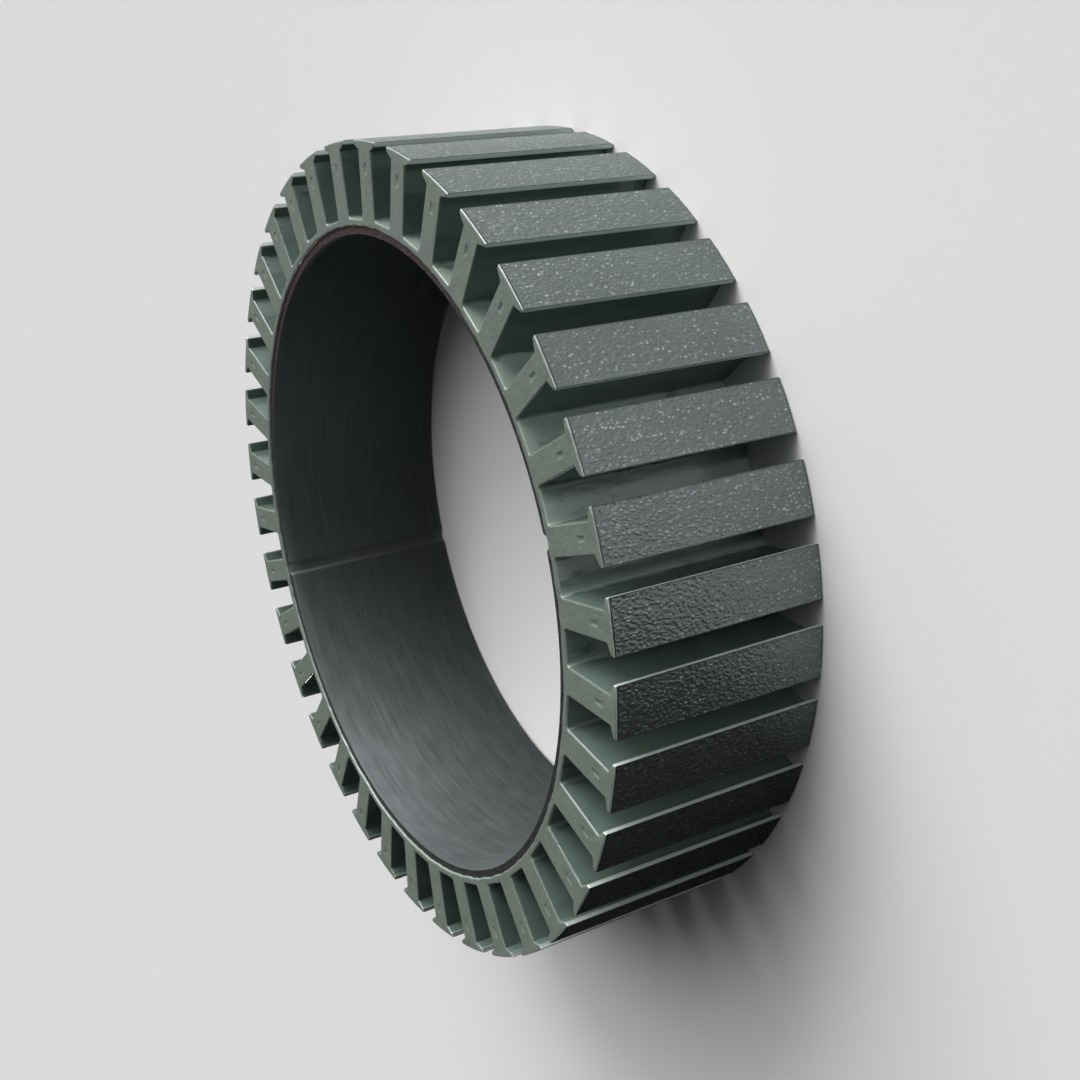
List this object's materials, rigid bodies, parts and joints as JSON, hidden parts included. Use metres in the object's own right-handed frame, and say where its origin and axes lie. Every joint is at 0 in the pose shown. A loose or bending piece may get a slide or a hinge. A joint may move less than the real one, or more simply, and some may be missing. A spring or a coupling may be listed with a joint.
{
  "type": "stator lamination stack",
  "caption": "Ring of stamped steel laminations with T-shaped teeth round a wide bore, insulated with green epoxy powder, for an outer-rotor motor.",
  "frame": {"origin": "centre of the bore, on the plane that the rear end rests on", "axes": "+Z along the bore axis, from the rear end to the front end; +X through the middle of the tooth behind one key groove"},
  "size_m": [0.1, 0.1, 0.0258],
  "materials": {
    "steel": "dark electrical steel, satin",
    "epoxy": "sage green epoxy powder coat"
  },
  "bodies": {
    "root": {"lamination_core": "steel", "epoxy_coating": "epoxy"}
  },
  "joints": []
}
